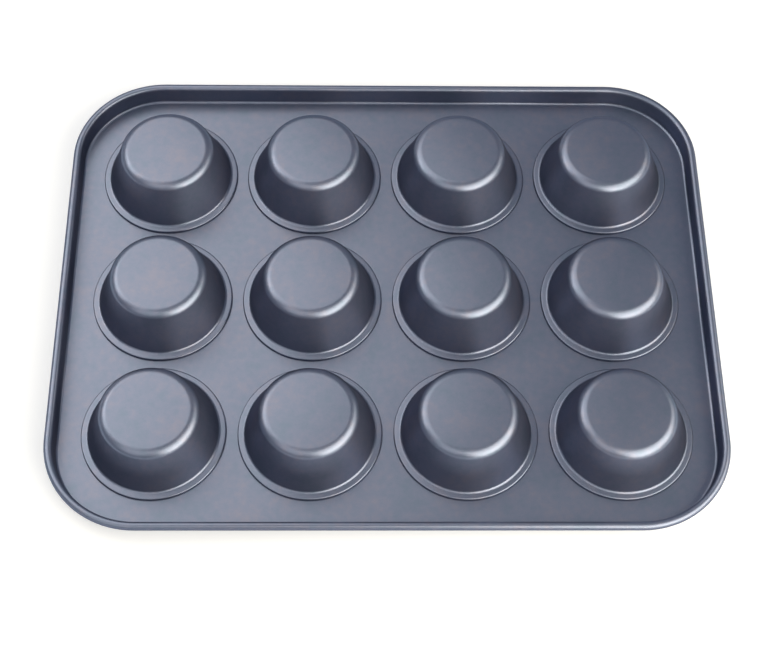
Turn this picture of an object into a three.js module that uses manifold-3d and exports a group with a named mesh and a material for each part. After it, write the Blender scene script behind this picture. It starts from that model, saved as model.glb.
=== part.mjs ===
// Muffin pan of coated sheet steel, lying turned over on its baking face with the cup bases up.
// A pressed deck with a flared skirt is rolled over a rim wire, and each drawn cup is locked
// into its own punched hole by a seam: a flange on the baking face and a folded ring behind it.
// Millimetres, +Z up. The origin is the middle of the footprint, on the plane that the pan lies on.
import * as THREE from "three";
import { mergeVertices } from "three/addons/utils/BufferGeometryUtils.js";
import Module from "manifold-3d";

// Sheet and seams
const SHEET = 0.5;
const SEAM_CLEARANCE = 0.05; // between the layers that a lock seam presses together
const HOLE_CLEARANCE = 0.3; // between a cup's neck and the edge of its punched hole

// Cups, measured on the outside
const CUP_DEPTH = 27.7; // from the deck's back to the cup's base
const CUP_MOUTH_RADIUS = 33.6; // where the wall would meet the seam ring without its fillet
const CUP_DRAFT = THREE.MathUtils.degToRad(19.3);
const BASE_ROUND = 5.5; // between the base and the wall
const FOOT_FILLET = 1.6; // between the wall and the seam ring
const MOUTH_ROUND = 1; // where the flange turns into the mouth
const SEAM_RING_WIDTH = 3.8; // the fold behind the deck, past the mouth radius
const SEAM_RING_HEIGHT = 1.5; // the fold is a flattened bead
const SEAM_RING_ROUND = 0.8; // at the fold's outer edge
const FLANGE_WIDTH = 2.4; // the flange on the baking face, past the mouth radius

// Layout of the cups on the deck
const COLUMNS = 4;
const ROW_NAMES = ["front", "middle", "back"];
const WEB_X = 5.7; // deck left between the seam rings of neighbouring columns
const WEB_Y = 4.7; // and of neighbouring rows
const BORDER_X = 12.6; // deck left between the outer seam rings and the foot of the skirt
const BORDER_Y = 15.4;
const DECK_CORNER_RADIUS = 44.7; // at the foot of the skirt

// Skirt and rolled rim
const SKIRT_RISE = 9.9; // from the deck's mid-plane to where the curl starts
const SKIRT_FLARE = THREE.MathUtils.degToRad(1);
const SKIRT_BEND = 1.2; // bend radius at the foot of the skirt, at the middle of the sheet
const WIRE_RADIUS = 1.4;
const WIRE_CLEARANCE = 0.25; // between the wire and the curl around it
const WIRE_BUTT_GAP = 1; // the wire is a cut length, and its ends almost meet
const CURL_SWEEP = THREE.MathUtils.degToRad(290);
const DECK_JOIN = 2; // width of the strip in which deck and skirt run into each other

// Facets
const CUP_SIDES = 24;
const CORNER_STEPS = 7;
const CURL_STEPS = 7;
const BEND_STEPS = 2;
const ROUND_STEPS = 3;
const WIRE_SIDES = 8;

// Levels of the layers, counted up from the plane that the pan lies on
const FLANGE_TOP = SHEET;
const DECK_FACE = FLANGE_TOP + SEAM_CLEARANCE;
const DECK_BACK = DECK_FACE + SHEET;
const DECK_MIDDLE = (DECK_FACE + DECK_BACK) / 2;
const RING_BOTTOM = DECK_BACK + SEAM_CLEARANCE;
const RING_TOP = RING_BOTTOM + SEAM_RING_HEIGHT;
const BASE_TOP = DECK_BACK + CUP_DEPTH;

// Places of the cups and the foot line of the skirt
const SEAM_RING_RADIUS = CUP_MOUTH_RADIUS + SEAM_RING_WIDTH;
const PITCH_X = 2 * SEAM_RING_RADIUS + WEB_X;
const PITCH_Y = 2 * SEAM_RING_RADIUS + WEB_Y;
const FOOT_HALF_LENGTH = ((COLUMNS - 1) / 2) * PITCH_X + SEAM_RING_RADIUS + BORDER_X;
const FOOT_HALF_WIDTH = ((ROW_NAMES.length - 1) / 2) * PITCH_Y + SEAM_RING_RADIUS + BORDER_Y;

// The curl, at the middle of its sheet. Its centre is given outward from the foot line, and as a level.
const CURL_RADIUS = WIRE_RADIUS + WIRE_CLEARANCE + SHEET / 2;
const SKIRT_RUN = SKIRT_RISE * Math.tan(SKIRT_FLARE);
const CURL_CENTRE = new THREE.Vector2(
  SKIRT_RUN + CURL_RADIUS * Math.cos(SKIRT_FLARE),
  DECK_MIDDLE + SKIRT_RISE - CURL_RADIUS * Math.sin(SKIRT_FLARE),
);
const BEND_TANGENT = SKIRT_BEND * Math.tan((Math.PI / 2 - SKIRT_FLARE) / 2);

const wasm = await Module();
wasm.setup();

// Points on an arc, both ends included
function arc(centre, radius, from, to, steps) {
  return Array.from({ length: steps + 1 }, (_, i) => {
    const angle = from + ((to - from) * i) / steps;
    return new THREE.Vector2(Math.cos(angle), Math.sin(angle)).multiplyScalar(radius).add(centre);
  });
}

// A round hole or outline with its corners where a revolved cup has them
function circlePath(x, y, radius) {
  const points = arc(new THREE.Vector2(x, y), radius, 0, 2 * Math.PI, CUP_SIDES);
  return new THREE.Path(points.slice(0, -1));
}

// Stations around the foot line, counterclockwise, each with its outward direction
function footLine() {
  const x = FOOT_HALF_LENGTH - DECK_CORNER_RADIUS;
  const y = FOOT_HALF_WIDTH - DECK_CORNER_RADIUS;
  const corners = [[x, y], [-x, y], [-x, -y], [x, -y]];
  return corners.flatMap(([cx, cy], quarter) => {
    const from = (quarter * Math.PI) / 2;
    const outward = arc(new THREE.Vector2(), 1, from, from + Math.PI / 2, CORNER_STEPS);
    return outward.map((direction) => ({
      foot: new THREE.Vector2(cx, cy).addScaledVector(direction, DECK_CORNER_RADIUS),
      outward: direction,
    }));
  });
}

// A section point: x is the distance outward from the foot line, y the level
function place(station, point) {
  const flat = station.foot.clone().addScaledVector(station.outward, point.x);
  return [flat.x, flat.y, point.y];
}

// Carries a counterclockwise section along the stations, either all the way round or with capped ends
function loft(stations, section, closed) {
  const positions = stations.flatMap((station) => section.flatMap((point) => place(station, point)));
  const count = section.length;
  const index = [];
  const spans = closed ? stations.length : stations.length - 1;
  for (let s = 0; s < spans; s += 1) {
    const here = s * count;
    const next = ((s + 1) % stations.length) * count;
    for (let p = 0; p < count; p += 1) {
      const q = (p + 1) % count;
      index.push(here + p, next + p, next + q, here + p, next + q, here + q);
    }
  }
  if (!closed) {
    const last = (stations.length - 1) * count;
    for (let p = 1; p < count - 1; p += 1) {
      index.push(0, p, p + 1, last, last + p + 1, last + p);
    }
  }
  const geometry = new THREE.BufferGeometry();
  geometry.setAttribute("position", new THREE.Float32BufferAttribute(positions, 3));
  geometry.setIndex(index);
  return geometry;
}

// A sheet of even thickness on either side of its middle line
function sheetSection(middle) {
  const side = (offset) =>
    middle.map((point, i) => {
      const before = middle[Math.max(i - 1, 0)];
      const after = middle[Math.min(i + 1, middle.length - 1)];
      const into = point.clone().sub(before).normalize();
      const out = after.clone().sub(point).normalize();
      const along = into.clone().add(out).normalize();
      const bend = Math.max(along.dot(into), along.dot(out)); // stretches the mitre at a corner
      return new THREE.Vector2(along.y, -along.x).multiplyScalar(offset / bend).add(point);
    });
  return [...side(SHEET / 2), ...side(-SHEET / 2).reverse()];
}

// Middle line of the skirt: deck strip, bend, flared wall, then the curl outward and back under the wire
function skirtMiddle() {
  const strip = new THREE.Vector2(-BEND_TANGENT - DECK_JOIN, DECK_MIDDLE);
  const bendCentre = new THREE.Vector2(-BEND_TANGENT, DECK_MIDDLE + SKIRT_BEND);
  const bend = arc(bendCentre, SKIRT_BEND, -Math.PI / 2, -SKIRT_FLARE, BEND_STEPS);
  const curlStart = Math.PI - SKIRT_FLARE;
  const curl = arc(CURL_CENTRE, CURL_RADIUS, curlStart, curlStart - CURL_SWEEP, CURL_STEPS);
  return [strip, ...bend, ...curl];
}

function toSolid(geometry) {
  const bare = geometry.index ? geometry.toNonIndexed() : geometry.clone();
  bare.deleteAttribute("normal");
  bare.deleteAttribute("uv");
  const merged = mergeVertices(bare);
  const vertProperties = merged.attributes.position.array;
  const triVerts = new Uint32Array(merged.index.array);
  return new wasm.Manifold(new wasm.Mesh({ numProp: 3, vertProperties, triVerts }));
}

function toGeometry(solid) {
  const { vertProperties, triVerts } = solid.getMesh();
  const geometry = new THREE.BufferGeometry();
  geometry.setAttribute("position", new THREE.BufferAttribute(vertProperties, 3));
  geometry.setIndex(new THREE.BufferAttribute(triVerts, 1));
  geometry.computeVertexNormals();
  return geometry;
}

function cupPlaces() {
  return ROW_NAMES.flatMap((row, r) =>
    Array.from({ length: COLUMNS }, (_, c) => ({
      name: `cup_${row}_${c + 1}`,
      x: (c - (COLUMNS - 1) / 2) * PITCH_X,
      y: (r - (ROW_NAMES.length - 1) / 2) * PITCH_Y,
    })),
  );
}

// The flat deck with a punched hole for each cup, joined to its skirt and rolled rim
function deckGeometry(stations) {
  const edge = new THREE.Vector2(-BEND_TANGENT - DECK_JOIN / 2, 0);
  const outline = stations.map((station) => new THREE.Vector2(...place(station, edge)));
  const shape = new THREE.Shape(outline);
  const holeRadius = CUP_MOUTH_RADIUS + HOLE_CLEARANCE;
  shape.holes = cupPlaces().map(({ x, y }) => circlePath(x, y, holeRadius));
  const flat = new THREE.ExtrudeGeometry(shape, { depth: SHEET, bevelEnabled: false });
  flat.translate(0, 0, DECK_FACE);
  const skirt = loft(stations, sheetSection(skirtMiddle()), true);
  return toGeometry(toSolid(flat).add(toSolid(skirt)));
}

// The rim wire: one length bent to the rim's outline, its ends facing each other in the middle of the back
function wireGeometry(stations) {
  const backEdge = { x: WIRE_BUTT_GAP / 2, y: FOOT_HALF_WIDTH };
  const end = (x) => ({ foot: new THREE.Vector2(x, backEdge.y), outward: new THREE.Vector2(0, 1) });
  const firstCorner = CORNER_STEPS + 1; // stations of the back right corner, which come before the back edge
  const route = [
    end(-backEdge.x),
    ...stations.slice(firstCorner),
    ...stations.slice(0, firstCorner),
    end(backEdge.x),
  ];
  const section = arc(CURL_CENTRE, WIRE_RADIUS, 0, 2 * Math.PI, WIRE_SIDES).slice(0, -1);
  return loft(route, section, false);
}

// Half section of a cup, from the outside of its base, over the seam, to the inside of its base
function cupProfile() {
  const slope = Math.tan(CUP_DRAFT);
  const halfTurn = (Math.PI / 2 - CUP_DRAFT) / 2; // half the turn between a level face and the wall
  const baseCorner = CUP_MOUTH_RADIUS - (BASE_TOP - RING_TOP) * slope;
  const baseFlat = baseCorner - BASE_ROUND * Math.tan(halfTurn);
  const footFlat = CUP_MOUTH_RADIUS + FOOT_FILLET * Math.tan(halfTurn);
  const roundCentre = new THREE.Vector2(baseFlat, BASE_TOP - BASE_ROUND);
  const filletCentre = new THREE.Vector2(footFlat, RING_TOP + FOOT_FILLET);
  const neckInside = CUP_MOUTH_RADIUS - SHEET;
  const flangeEdge = CUP_MOUTH_RADIUS + FLANGE_WIDTH;
  return [
    new THREE.Vector2(0, BASE_TOP),
    ...arc(roundCentre, BASE_ROUND, Math.PI / 2, CUP_DRAFT, ROUND_STEPS),
    ...arc(filletCentre, FOOT_FILLET, Math.PI + CUP_DRAFT, (3 * Math.PI) / 2, BEND_STEPS),
    new THREE.Vector2(SEAM_RING_RADIUS - SEAM_RING_ROUND, RING_TOP),
    new THREE.Vector2(SEAM_RING_RADIUS, RING_TOP - SEAM_RING_ROUND),
    new THREE.Vector2(SEAM_RING_RADIUS, RING_BOTTOM),
    new THREE.Vector2(CUP_MOUTH_RADIUS, RING_BOTTOM),
    new THREE.Vector2(CUP_MOUTH_RADIUS, FLANGE_TOP),
    new THREE.Vector2(flangeEdge, FLANGE_TOP),
    new THREE.Vector2(flangeEdge, 0),
    new THREE.Vector2(neckInside + MOUTH_ROUND, 0),
    new THREE.Vector2(neckInside, MOUTH_ROUND),
    new THREE.Vector2(neckInside, RING_TOP),
    ...arc(roundCentre, BASE_ROUND - SHEET, CUP_DRAFT, Math.PI / 2, BEND_STEPS),
    new THREE.Vector2(0, BASE_TOP - SHEET),
  ];
}

function cupGeometry() {
  const geometry = new THREE.LatheGeometry(cupProfile().reverse(), CUP_SIDES);
  return geometry.rotateX(Math.PI / 2); // the lathe turns about Y, and the cup stands along Z
}

const coating = { color: 0x6a7180, roughness: 0.42, metalness: 0.75 };
const bareSteel = { color: 0xb9bcc0, roughness: 0.3, metalness: 1 };

function piece(name, geometry, finish) {
  const mesh = new THREE.Mesh(geometry, new THREE.MeshStandardMaterial(finish));
  mesh.name = name;
  return mesh;
}

function cups() {
  const group = new THREE.Group();
  for (const { name, x, y } of cupPlaces()) {
    const cup = piece(name, cupGeometry(), coating);
    cup.position.set(x, y, 0);
    group.add(cup);
  }
  return group;
}

const stations = footLine();
const pan = new THREE.Group();
pan.add(piece("deck_plate", deckGeometry(stations), coating));
pan.add(piece("rim_wire", wireGeometry(stations), bareSteel));
pan.add(cups());

export default pan;
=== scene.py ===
"""Muffin pan of coated sheet steel, turned over so that it lies on its baking face."""

from math import cos, hypot, pi, radians, sin, tan

import bpy
from mathutils import Matrix, Vector


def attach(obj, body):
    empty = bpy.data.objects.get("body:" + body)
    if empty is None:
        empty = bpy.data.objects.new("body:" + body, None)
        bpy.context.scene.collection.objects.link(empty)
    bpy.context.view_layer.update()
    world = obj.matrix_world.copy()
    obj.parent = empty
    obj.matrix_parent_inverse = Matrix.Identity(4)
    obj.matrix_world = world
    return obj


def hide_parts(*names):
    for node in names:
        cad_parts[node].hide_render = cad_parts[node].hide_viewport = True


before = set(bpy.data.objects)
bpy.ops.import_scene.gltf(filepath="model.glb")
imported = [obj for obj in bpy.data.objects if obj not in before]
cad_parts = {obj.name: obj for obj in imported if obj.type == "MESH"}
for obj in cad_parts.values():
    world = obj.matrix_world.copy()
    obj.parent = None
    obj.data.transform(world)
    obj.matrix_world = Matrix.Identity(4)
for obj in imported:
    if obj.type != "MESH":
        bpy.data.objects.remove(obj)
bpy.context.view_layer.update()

MM = 0.001

# Sheet and seams
SHEET = 0.5 * MM
SEAM_CLEARANCE = 0.05 * MM
HOLE_CLEARANCE = 0.3 * MM
PUNCH_DEPTH = 4 * MM

# Cups
CUP_DEPTH = 27.7 * MM
CUP_MOUTH_RADIUS = 33.6 * MM
CUP_DRAFT = radians(19.3)
BASE_ROUND = 5.5 * MM
FOOT_FILLET = 1.6 * MM
MOUTH_ROUND = 1 * MM
SEAM_RING_WIDTH = 3.8 * MM
SEAM_RING_HEIGHT = 1.5 * MM
SEAM_RING_ROUND = 0.8 * MM
RING_FOOT_ROUND = 0.3 * MM
NECK_ROUND = 1.2 * MM
FLANGE_WIDTH = 2.4 * MM
FLANGE_ROUND = 0.2 * MM
COLUMNS = 4
ROW_NAMES = ("front", "middle", "back")
PITCH_X = 80.5 * MM
PITCH_Y = 79.5 * MM

# Skirt and rolled rim
FOOT_HALF_LENGTH = 170.75 * MM
FOOT_HALF_WIDTH = 132.3 * MM
DECK_CORNER_RADIUS = 44.7 * MM
DECK_STRIP = 2 * MM
SKIRT_RISE = 9.9 * MM
SKIRT_FLARE = radians(1)
SKIRT_BEND = 1.9 * MM
WIRE_RADIUS = 1.4 * MM
WIRE_CLEARANCE = 0.25 * MM
WIRE_BUTT_GAP = 1 * MM
CURL_SWEEP = radians(290)

# Levels, up from the plane that the pan lies on, and the radii and offsets that follow
FLANGE_TOP = SHEET
DECK_FACE = FLANGE_TOP + SEAM_CLEARANCE
DECK_BACK = DECK_FACE + SHEET
DECK_MIDDLE = (DECK_FACE + DECK_BACK) / 2
RING_BOTTOM = DECK_BACK + SEAM_CLEARANCE
RING_TOP = RING_BOTTOM + SEAM_RING_HEIGHT
BASE_TOP = DECK_BACK + CUP_DEPTH
SEAM_RING_RADIUS = CUP_MOUTH_RADIUS + SEAM_RING_WIDTH
CURL_RADIUS = WIRE_RADIUS + WIRE_CLEARANCE + SHEET / 2
CURL_OUT = SKIRT_RISE * tan(SKIRT_FLARE) + CURL_RADIUS * cos(SKIRT_FLARE)
CURL_LEVEL = DECK_MIDDLE + SKIRT_RISE - CURL_RADIUS * sin(SKIRT_FLARE)
BEND_TANGENT = SKIRT_BEND * tan((pi / 2 - SKIRT_FLARE) / 2)

# Centres of the rounded corners, out from the middle of the pan
CORNER_X = FOOT_HALF_LENGTH - DECK_CORNER_RADIUS
CORNER_Y = FOOT_HALF_WIDTH - DECK_CORNER_RADIUS

# Coating: its tones from blue to brown, its sheen, and its tint where it is seen edge-on
COATING_TONES = (
    (0.36, (0.181, 0.231, 0.307, 1)),
    (0.5, (0.208, 0.243, 0.331, 1)),
    (0.64, (0.243, 0.258, 0.33, 1)),
)
COATING_METALLIC = 0.94
COATING_ROUGHNESS = 0.34
COATING_ROUGHNESS_SPREAD = 0.03
COATING_EDGE_TINT = (0.12, 0.12, 0.15, 1)

# Mottling of the coating: clouds, blotches and sprayed grain, and how much each turns the hue
CLOUD_SCALE = 45
BLOTCH_SCALE = 260
SPRAY_SCALE = 1800
MOTTLE_DETAIL = 3
SPRAY_DETAIL = 2
MOTTLE_RAGGEDNESS = 0.6
CLOUD_SHARE = 0.4
BLOTCH_SHARE = 0.4
SPRAY_SHARE = 0.2
SPRAY_RELIEF = 0.03
SPRAY_HEIGHT = 0.1 * MM

# Drawn walls, told by the upright part of the normal: the colour that darkens them, which is
# painted shade, and the roughness added for their duller coating
DRAWN_AND_SHADED_FROM = 0.6
DRAWN_AND_SHADED_FULLY = 0.38
DRAWN_WALL_SHADE = (0.72, 0.71, 0.77, 1)
DRAWN_ROUGHNESS = 0.14

# Bare wire: its tones, its sheen, and how fine its grain is
WIRE_TONES = (
    (0.3, (0.42, 0.42, 0.43, 1)),
    (0.7, (0.56, 0.56, 0.57, 1)),
)
WIRE_METALLIC = 1
WIRE_ROUGHNESS = 0.3
WIRE_ROUGHNESS_SPREAD = 0.1
WIRE_GRAIN_SCALE = 900
WIRE_GRAIN_DETAIL = 3

# Camera, with its focal length in pixels of a picture of this width
CAMERA_ELEVATION = radians(61.381)
CAMERA_TURN = radians(-2.363)
CAMERA_ROLL = radians(2.196)
CAMERA_DISTANCE = 845.06 * MM
CAMERA_TARGET = (-0.04 * MM, -17.84 * MM)
SENSOR_WIDTH = 36
PICTURE_WIDTH = 774
FOCAL_LENGTH = 1575.84

# Pale floor just under the pan, 12 m wide, with a faint glow of its own
FLOOR_SIZE = 12
FLOOR_DROP = 0.2 * MM
FLOOR_COLOUR = (0.71, 0.75, 0.77, 1)
GLOW_COLOUR = (1, 1, 1, 1)
GLOW_LEVEL = 0.34

# Dim cool room
ROOM_COLOUR = (0.8, 0.83, 1, 1)
ROOM_LEVEL = 0.31

# Slightly warm lamps, warmest in front
LAMP_TINT = (1, 0.91, 0.79)
FRONT_LAMP_TINT = (1, 0.885, 0.705)

# Softboxes: name, degrees round from the front and up, metres away, size in metres, brightness, tint
SOFTBOXES = (
    ("softbox_overhead", (-132, 55), 1.0, (1.0, 0.9), 1.57, LAMP_TINT),
    ("softbox_left", (-110, 37), 1.09, (0.8, 0.3), 2.1, LAMP_TINT),
    ("softbox_left_front", (-37, 45), 1.0, (0.67, 0.78), 1.0, LAMP_TINT),
    ("softbox_front", (50, 38), 0.7, (0.9, 0.6), 3.28, FRONT_LAMP_TINT),
    ("softbox_front_low", (38, 23), 0.73, (0.5, 0.34), 2.25, FRONT_LAMP_TINT),
    ("softbox_right", (95, 30), 1.0, (0.9, 0.4), 1.6, FRONT_LAMP_TINT),
)

# Fineness of the round stretches
CUP_SIDES = 160
BASE_STEPS = 10
INNER_BASE_STEPS = 8
FOOT_STEPS = 7
RING_STEPS = 5
MOUTH_STEPS = 6
NECK_STEPS = 4
SMALL_STEPS = 3
CORNER_STEPS = 24
CURL_STEPS = 28
BEND_STEPS = 8
WIRE_SIDES = 20

# Edges that turn more than this stay crisp
SMOOTH_ANGLE = radians(35)

# Nearness at which points are one, along the section or round the outline, or lie on a circle
SECTION_WELD = 0.001 * MM
OUTLINE_WELD = 0.01 * MM
CIRCLE_TOLERANCE = 0.02 * MM


class Value:
    """A shader socket that takes part in Python expressions."""

    def __init__(self, tree, socket):
        self.tree = tree
        self.socket = socket

    def node(self, kind, settings=None, **inputs):
        """Adds a node, sets it up, and fills its inputs with values or links."""
        made = self.tree.nodes.new(kind)
        for key, value in (settings or {}).items():
            if key == "stops":
                elements = made.color_ramp.elements
                while len(elements) < len(value):
                    elements.new(0.5)
                for element, (position, colour) in zip(elements, value):
                    element.position = position
                    element.color = colour
            else:
                setattr(made, key, value)
        for key, value in inputs.items():
            name = int(key[1:]) if key[0] == "_" else key.replace("_", " ")
            socket = made.inputs[name]
            if isinstance(value, Value):
                self.tree.links.new(value.socket, socket)
            else:
                socket.default_value = value
        return made

    def out(self, kind, output, settings=None, **inputs):
        """One output of a new node, as a value."""
        return Value(self.tree, self.node(kind, settings, **inputs).outputs[output])

    def math(self, operation, first, second):
        """The sum, product or the like of two values."""
        return self.out("ShaderNodeMath", 0, {"operation": operation}, _0=first, _1=second)

    def __add__(self, other):
        return self.math("ADD", self, other)

    def __radd__(self, other):
        return self.math("ADD", other, self)

    def __mul__(self, other):
        return self.math("MULTIPLY", self, other)


def fresh_object():
    """Leaves edit mode behind, with nothing selected."""
    if bpy.context.mode != "OBJECT":
        bpy.ops.object.mode_set(mode="OBJECT")
    bpy.ops.object.select_all(action="DESELECT")


def name_piece(name):
    """Names the object just made."""
    piece = bpy.context.object
    piece.name = name
    piece.data.name = name
    return piece


def pick_edges(piece, wanted):
    """Selects, in edit mode, the edges whose two ends satisfy a test on their place."""
    bpy.ops.mesh.select_mode(type="EDGE")
    bpy.ops.mesh.select_all(action="DESELECT")
    bpy.ops.object.mode_set(mode="OBJECT")
    places = [vertex.co for vertex in piece.data.vertices]
    for edge in piece.data.edges:
        edge.select = all(wanted(places[i]) for i in edge.vertices)
    bpy.ops.object.mode_set(mode="EDIT")


def circle_at(radius, level):
    """A test for the places on a circle about the Z axis."""
    return lambda co: (abs(hypot(co.x, co.y) - radius) < CIRCLE_TOLERANCE
                       and abs(co.z - level) < CIRCLE_TOLERANCE)


def round_circle(piece, radius, level, width, segments):
    """Rounds the edge that runs round the cup at this radius and level."""
    pick_edges(piece, circle_at(radius, level))
    bpy.ops.mesh.bevel(offset=width, offset_type="OFFSET", segments=segments, affect="EDGES",
                       clamp_overlap=False)


def draw_cup():
    """One drawn cup, standing on the Z axis: its cap is carried from the inside of the base
    down the inner wall, over the flange, neck and seam ring, and up the outer wall."""
    slope = tan(CUP_DRAFT)
    half_turn = tan((pi / 2 - CUP_DRAFT) / 2)
    base_corner = CUP_MOUTH_RADIUS - (BASE_TOP - RING_TOP) * slope
    inner_corner = base_corner - SHEET * half_turn
    neck_inside = CUP_MOUTH_RADIUS - SHEET
    flange_edge = CUP_MOUTH_RADIUS + FLANGE_WIDTH
    stops = (
        (neck_inside, RING_TOP),
        (neck_inside, 0),
        (flange_edge, 0),
        (flange_edge, FLANGE_TOP),
        (CUP_MOUTH_RADIUS, FLANGE_TOP),
        (CUP_MOUTH_RADIUS, RING_BOTTOM),
        (SEAM_RING_RADIUS, RING_BOTTOM),
        (SEAM_RING_RADIUS, RING_TOP),
        (CUP_MOUTH_RADIUS, RING_TOP),
        (base_corner, BASE_TOP),
    )
    fresh_object()
    bpy.ops.mesh.primitive_circle_add(vertices=CUP_SIDES, radius=inner_corner, fill_type="NGON",
                                      location=(0, 0, BASE_TOP - SHEET))
    cup = name_piece("cup")
    bpy.ops.object.transform_apply()
    bpy.ops.object.mode_set(mode="EDIT")
    bpy.ops.mesh.select_all(action="SELECT")
    radius, level = inner_corner, BASE_TOP - SHEET
    for next_radius, next_level in stops:
        bpy.ops.mesh.extrude_region_move(
            TRANSFORM_OT_translate={"value": (0, 0, next_level - level)})
        growth = next_radius / radius
        bpy.ops.transform.resize(value=(growth, growth, 1), center_override=(0, 0, next_level))
        radius, level = next_radius, next_level
    bpy.ops.mesh.select_mode(type="EDGE")
    bpy.ops.mesh.select_all(action="DESELECT")
    bpy.ops.mesh.select_non_manifold()
    bpy.ops.mesh.edge_face_add()
    bpy.ops.mesh.select_all(action="SELECT")
    bpy.ops.mesh.normals_make_consistent(inside=False)
    round_circle(cup, base_corner, BASE_TOP, BASE_ROUND * half_turn, BASE_STEPS)
    round_circle(cup, inner_corner, BASE_TOP - SHEET, (BASE_ROUND - SHEET) * half_turn,
                 INNER_BASE_STEPS)
    round_circle(cup, CUP_MOUTH_RADIUS, RING_TOP, FOOT_FILLET * half_turn, FOOT_STEPS)
    round_circle(cup, SEAM_RING_RADIUS, RING_TOP, SEAM_RING_ROUND, RING_STEPS)
    round_circle(cup, SEAM_RING_RADIUS, RING_BOTTOM, RING_FOOT_ROUND, SMALL_STEPS)
    round_circle(cup, neck_inside, 0, MOUTH_ROUND, MOUTH_STEPS)
    round_circle(cup, neck_inside, RING_TOP, NECK_ROUND, NECK_STEPS)
    round_circle(cup, flange_edge, FLANGE_TOP, FLANGE_ROUND, SMALL_STEPS)
    round_circle(cup, flange_edge, 0, FLANGE_ROUND, SMALL_STEPS)
    fresh_object()
    return cup


def extrude_to(shift):
    """Carries the selection along a straight stretch."""
    bpy.ops.mesh.extrude_region_move(TRANSFORM_OT_translate={"value": shift})


def sweep_round(angle, steps, centre, axis):
    """Carries the selection round an axis by the right-hand rule, which a spin's angle runs against."""
    bpy.ops.mesh.spin(steps=steps, angle=-angle, center=centre, axis=axis)


def round_the_pan(half_gap):
    """Carries the selected section, which stands across the back edge and half a gap to the left
    of its middle, round the pan's four corners and back, to half a gap to the right."""
    half_run = (half_gap - CORNER_X, 0, 0)
    corners = ((-CORNER_X, CORNER_Y), (-CORNER_X, -CORNER_Y),
               (CORNER_X, -CORNER_Y), (CORNER_X, CORNER_Y))
    runs = ((0, -2 * CORNER_Y, 0), (2 * CORNER_X, 0, 0), (0, 2 * CORNER_Y, 0), half_run)
    extrude_to(half_run)
    for (x, y), run in zip(corners, runs):
        sweep_round(pi / 2, CORNER_STEPS, (x, y, 0), (0, 0, 1))
        extrude_to(run)


def roll_deck():
    """The deck: a sheet section is walked out from the deck strip, up the skirt and round the
    curl, carried round the outline, filled flat, thickened, and punched for the cups."""
    start = Vector((0, FOOT_HALF_WIDTH - BEND_TANGENT - DECK_STRIP, DECK_MIDDLE))
    fresh_object()
    bpy.ops.mesh.primitive_plane_add(size=MM, location=start)
    deck = name_piece("deck")
    bpy.ops.object.transform_apply()
    bpy.ops.object.mode_set(mode="EDIT")
    bpy.ops.mesh.select_mode(type="VERT")
    bpy.ops.mesh.select_all(action="SELECT")
    bpy.ops.mesh.merge(type="CENTER")
    extrude_to((0, DECK_STRIP, 0))
    sweep_round(pi / 2 - SKIRT_FLARE, BEND_STEPS,
                (0, start.y + DECK_STRIP, DECK_MIDDLE + SKIRT_BEND), (1, 0, 0))
    wall_top = (FOOT_HALF_WIDTH + SKIRT_RISE * tan(SKIRT_FLARE), DECK_MIDDLE + SKIRT_RISE)
    bend_end = (start.y + DECK_STRIP + SKIRT_BEND * cos(SKIRT_FLARE),
                DECK_MIDDLE + SKIRT_BEND * (1 - sin(SKIRT_FLARE)))
    extrude_to((0, wall_top[0] - bend_end[0], wall_top[1] - bend_end[1]))
    sweep_round(-CURL_SWEEP, CURL_STEPS,
                (0, FOOT_HALF_WIDTH + CURL_OUT, CURL_LEVEL), (1, 0, 0))
    bpy.ops.mesh.select_all(action="SELECT")
    bpy.ops.mesh.remove_doubles(threshold=SECTION_WELD)
    bpy.ops.mesh.select_all(action="SELECT")
    round_the_pan(0)
    bpy.ops.mesh.select_all(action="SELECT")
    bpy.ops.mesh.remove_doubles(threshold=OUTLINE_WELD)
    corner = DECK_CORNER_RADIUS - BEND_TANGENT - DECK_STRIP

    def on_inner_edge(co):
        x = max(abs(co.x) - CORNER_X, 0)
        y = max(abs(co.y) - CORNER_Y, 0)
        return abs(co.z - DECK_MIDDLE) < OUTLINE_WELD and hypot(x, y) < corner + OUTLINE_WELD

    pick_edges(deck, on_inner_edge)
    bpy.ops.mesh.edge_face_add()
    bpy.ops.mesh.select_all(action="SELECT")
    bpy.ops.mesh.normals_make_consistent(inside=False)
    fresh_object()
    thicken = deck.modifiers.new("thickness", "SOLIDIFY")
    thicken.thickness = SHEET
    thicken.offset = 0
    thicken.use_even_offset = True
    bpy.context.view_layer.objects.active = deck
    bpy.ops.object.modifier_apply(modifier=thicken.name)
    punch = make_punch()
    cut = deck.modifiers.new("punched", "BOOLEAN")
    cut.operation = "DIFFERENCE"
    cut.solver = "EXACT"
    cut.object = punch
    bpy.context.view_layer.objects.active = deck
    bpy.ops.object.modifier_apply(modifier=cut.name)
    bpy.data.objects.remove(punch)
    return deck


def make_punch():
    """Round tools, one for each hole in the deck."""
    fresh_object()
    tools = []
    for _, x, y in cup_places():
        bpy.ops.mesh.primitive_cylinder_add(
            vertices=CUP_SIDES, radius=CUP_MOUTH_RADIUS + HOLE_CLEARANCE, depth=PUNCH_DEPTH,
            location=(x, y, DECK_MIDDLE))
        tools.append(bpy.context.object)
    for tool in tools:
        tool.select_set(True)
    bpy.ops.object.join()
    punch = bpy.context.object
    bpy.ops.object.transform_apply()
    fresh_object()
    return punch


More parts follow.
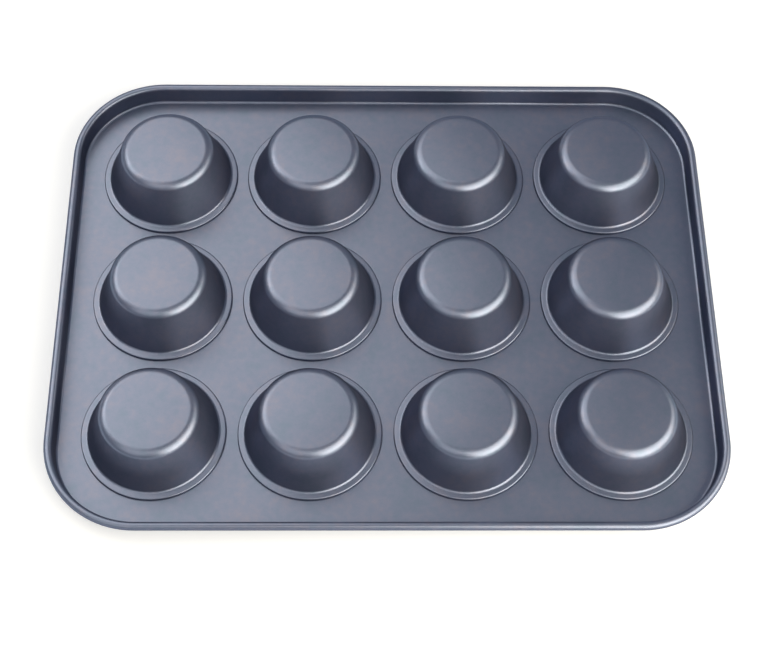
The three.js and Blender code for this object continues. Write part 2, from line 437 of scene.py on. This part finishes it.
def bend_wire():
    """The rim wire: a round section carried round the rim, with its cut ends facing each other."""
    fresh_object()
    bpy.ops.mesh.primitive_circle_add(
        vertices=WIRE_SIDES, radius=WIRE_RADIUS, rotation=(0, pi / 2, 0),
        location=(-WIRE_BUTT_GAP / 2, FOOT_HALF_WIDTH + CURL_OUT, CURL_LEVEL))
    wire = name_piece("wire")
    bpy.ops.object.transform_apply()
    bpy.ops.object.mode_set(mode="EDIT")
    bpy.ops.mesh.select_mode(type="EDGE")
    bpy.ops.mesh.select_all(action="SELECT")
    round_the_pan(WIRE_BUTT_GAP / 2)
    bpy.ops.mesh.select_all(action="SELECT")
    bpy.ops.mesh.remove_doubles(threshold=OUTLINE_WELD)
    bpy.ops.mesh.select_all(action="DESELECT")
    bpy.ops.mesh.select_non_manifold()
    bpy.ops.mesh.edge_face_add()
    bpy.ops.mesh.select_all(action="SELECT")
    bpy.ops.mesh.normals_make_consistent(inside=False)
    fresh_object()
    return wire


def cup_places():
    """The name of each cup and the place of its axis."""
    return [(f"cup_{row}_{column + 1}", (column - (COLUMNS - 1) / 2) * PITCH_X,
             (r - (len(ROW_NAMES) - 1) / 2) * PITCH_Y)
            for r, row in enumerate(ROW_NAMES) for column in range(COLUMNS)]


def smooth(piece):
    """Shades a piece smooth, apart from its sharp edges."""
    fresh_object()
    piece.select_set(True)
    bpy.context.view_layer.objects.active = piece
    bpy.ops.object.shade_smooth_by_angle(angle=SMOOTH_ANGLE)
    fresh_object()


def mark_drawn_and_shaded(piece):
    """Marks the drawn and bent walls by their steepness. Stretching has left the coating a little
    duller there, and the same mark darkens their colour as painted shade.
    """
    mark = piece.data.attributes.new("drawn", "FLOAT", "POINT")
    for vertex in piece.data.vertices:
        steepness = (DRAWN_AND_SHADED_FROM - abs(vertex.normal.z)) / (DRAWN_AND_SHADED_FROM - DRAWN_AND_SHADED_FULLY)
        mark.data[vertex.index].value = min(max(steepness, 0), 1)


def new_material(name):
    """An empty material and the maker of its nodes."""
    material = bpy.data.materials.new(name)
    material.use_nodes = True
    tree = material.node_tree
    tree.nodes.clear()
    return material, Value(tree, None)


def coated_steel():
    """Blue-grey non-stick coating with a satin metallic sheen. Its hue wanders a little between
    blue and brown, the sprayed film has a faint grain, and the drawn walls are rougher, with
    painted shade darkening their colour."""
    material, make = new_material("coated_steel")
    place = make.out("ShaderNodeTexCoord", "Object")
    cloud, blotch, spray = (
        make.out("ShaderNodeTexNoise", "Fac", Vector=place, Scale=scale, Detail=detail,
                 Roughness=MOTTLE_RAGGEDNESS)
        for scale, detail in ((CLOUD_SCALE, MOTTLE_DETAIL), (BLOTCH_SCALE, MOTTLE_DETAIL),
                              (SPRAY_SCALE, SPRAY_DETAIL)))
    hue = cloud * CLOUD_SHARE + blotch * BLOTCH_SHARE + spray * SPRAY_SHARE
    tone = make.out("ShaderNodeValToRGB", "Color", {"stops": COATING_TONES}, Fac=hue)
    # The drawn mark adds roughness for the duller walls and darkens their colour: painted shade
    drawn = make.out("ShaderNodeAttribute", "Fac", {"attribute_name": "drawn"})
    # Of this node's sockets, input 0 is the share, and inputs 6 and 7 and output 2 are the colours
    tone = make.out("ShaderNodeMix", 2, {"data_type": "RGBA", "blend_type": "MULTIPLY"},
                    _0=drawn, _6=tone, _7=DRAWN_WALL_SHADE)
    bump = make.out("ShaderNodeBump", "Normal", Strength=SPRAY_RELIEF, Distance=SPRAY_HEIGHT,
                    Height=spray)
    roughness = (COATING_ROUGHNESS + cloud * COATING_ROUGHNESS_SPREAD
                 + spray * COATING_ROUGHNESS_SPREAD + drawn * DRAWN_ROUGHNESS)
    shader = make.out("ShaderNodeBsdfPrincipled", "BSDF", Base_Color=tone,
                      Metallic=COATING_METALLIC, Roughness=roughness,
                      Specular_Tint=COATING_EDGE_TINT, Normal=bump)
    make.node("ShaderNodeOutputMaterial", Surface=shader)
    return material


def drawn_wire():
    """Bare steel wire with a fine grain."""
    material, make = new_material("drawn_wire")
    place = make.out("ShaderNodeTexCoord", "Object")
    grain = make.out("ShaderNodeTexNoise", "Fac", Vector=place, Scale=WIRE_GRAIN_SCALE,
                     Detail=WIRE_GRAIN_DETAIL)
    tone = make.out("ShaderNodeValToRGB", "Color", {"stops": WIRE_TONES}, Fac=grain)
    shader = make.out("ShaderNodeBsdfPrincipled", "BSDF", Base_Color=tone, Metallic=WIRE_METALLIC,
                      Roughness=WIRE_ROUGHNESS + grain * WIRE_ROUGHNESS_SPREAD)
    make.node("ShaderNodeOutputMaterial", Surface=shader)
    return material


def put_in_place(piece, name, material):
    """Gives a finished piece its name, finish and CAD node."""
    piece.name = name
    piece.data.name = name
    piece.data.materials.clear()
    piece.data.materials.append(material)
    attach(piece, "root")


def assemble():
    """Makes every piece of the pan and puts it in its place."""
    coating = coated_steel()
    steel = drawn_wire()
    deck = roll_deck()
    smooth(deck)
    mark_drawn_and_shaded(deck)
    put_in_place(deck, "pan_deck", coating)
    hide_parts("deck_plate")
    wire = bend_wire()
    smooth(wire)
    put_in_place(wire, "pan_wire", steel)
    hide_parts("rim_wire")
    pattern = draw_cup()
    smooth(pattern)
    mark_drawn_and_shaded(pattern)
    for node, x, y in cup_places():
        cup = pattern.copy()
        cup.data = pattern.data.copy()
        bpy.context.scene.collection.objects.link(cup)
        cup.data.transform(Matrix.Translation((x, y, 0)))
        put_in_place(cup, "pan_" + node, coating)
        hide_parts(node)
    bpy.data.objects.remove(pattern)


def lay_floor():
    """A plain pale floor, white to the camera and in reflections, that keeps the pan's shadow."""
    fresh_object()
    bpy.ops.mesh.primitive_plane_add(size=FLOOR_SIZE, location=(0, 0, -FLOOR_DROP))
    floor = name_piece("floor")
    material, make = new_material("floor_white")
    camera, glossy, through = (make.out("ShaderNodeLightPath", f"Is {kind} Ray")
                               for kind in ("Camera", "Glossy", "Transmission"))
    seen = camera + glossy + through
    diffuse = make.out("ShaderNodeBsdfDiffuse", "BSDF", Color=FLOOR_COLOUR)
    glow = make.out("ShaderNodeEmission", "Emission", Color=GLOW_COLOUR,
                    Strength=seen * GLOW_LEVEL)
    both = make.out("ShaderNodeAddShader", "Shader", _0=diffuse, _1=glow)
    make.node("ShaderNodeOutputMaterial", Surface=both)
    floor.data.materials.append(material)


def aim_camera():
    """The camera of the photograph."""
    target = Vector((*CAMERA_TARGET, DECK_BACK))
    level = cos(CAMERA_ELEVATION)
    back = Vector((sin(CAMERA_TURN) * level, -cos(CAMERA_TURN) * level, sin(CAMERA_ELEVATION)))
    right = (-back).cross(Vector((0, 0, 1))).normalized()
    up = right.cross(-back)
    across = right * cos(CAMERA_ROLL) + up * sin(CAMERA_ROLL)
    over = up * cos(CAMERA_ROLL) - right * sin(CAMERA_ROLL)
    data = bpy.data.cameras.new("camera")
    data.sensor_width = SENSOR_WIDTH
    data.lens = SENSOR_WIDTH * FOCAL_LENGTH / PICTURE_WIDTH
    camera = bpy.data.objects.new("camera", data)
    bpy.context.scene.collection.objects.link(camera)
    turned = Matrix((across, over, back)).transposed().to_4x4()
    camera.matrix_world = Matrix.Translation(target + back * CAMERA_DISTANCE) @ turned
    bpy.context.scene.camera = camera


def hang_softbox(name, direction, distance, size, radiance, tint):
    """A soft lamp that faces the pan. Its direction is the angle round from the front, towards the
    right, and the angle up; its size is width and height, and radiance how bright it looks."""
    data = bpy.data.lights.new(name, "AREA")
    data.shape = "RECTANGLE"
    data.size, data.size_y = size
    data.energy = radiance * pi * size[0] * size[1]
    data.color = tint
    lamp = bpy.data.objects.new(name, data)
    bpy.context.scene.collection.objects.link(lamp)
    round_angle, up_angle = (radians(angle) for angle in direction)
    level = cos(up_angle)
    away = Vector((sin(round_angle) * level, -cos(round_angle) * level, sin(up_angle)))
    lamp.location = away * distance
    lamp.rotation_euler = away.to_track_quat("Z", "Y").to_euler()


def light_studio():
    """A dim cool room with softboxes round the pan."""
    world = bpy.data.worlds.new("studio")
    bpy.context.scene.world = world
    world.use_nodes = True
    room = world.node_tree.nodes["Background"]
    room.inputs["Color"].default_value = ROOM_COLOUR
    room.inputs["Strength"].default_value = ROOM_LEVEL
    for softbox in SOFTBOXES:
        hang_softbox(*softbox)


assemble()
lay_floor()
aim_camera()
light_studio()
bpy.context.scene.view_settings.view_transform = "Standard"
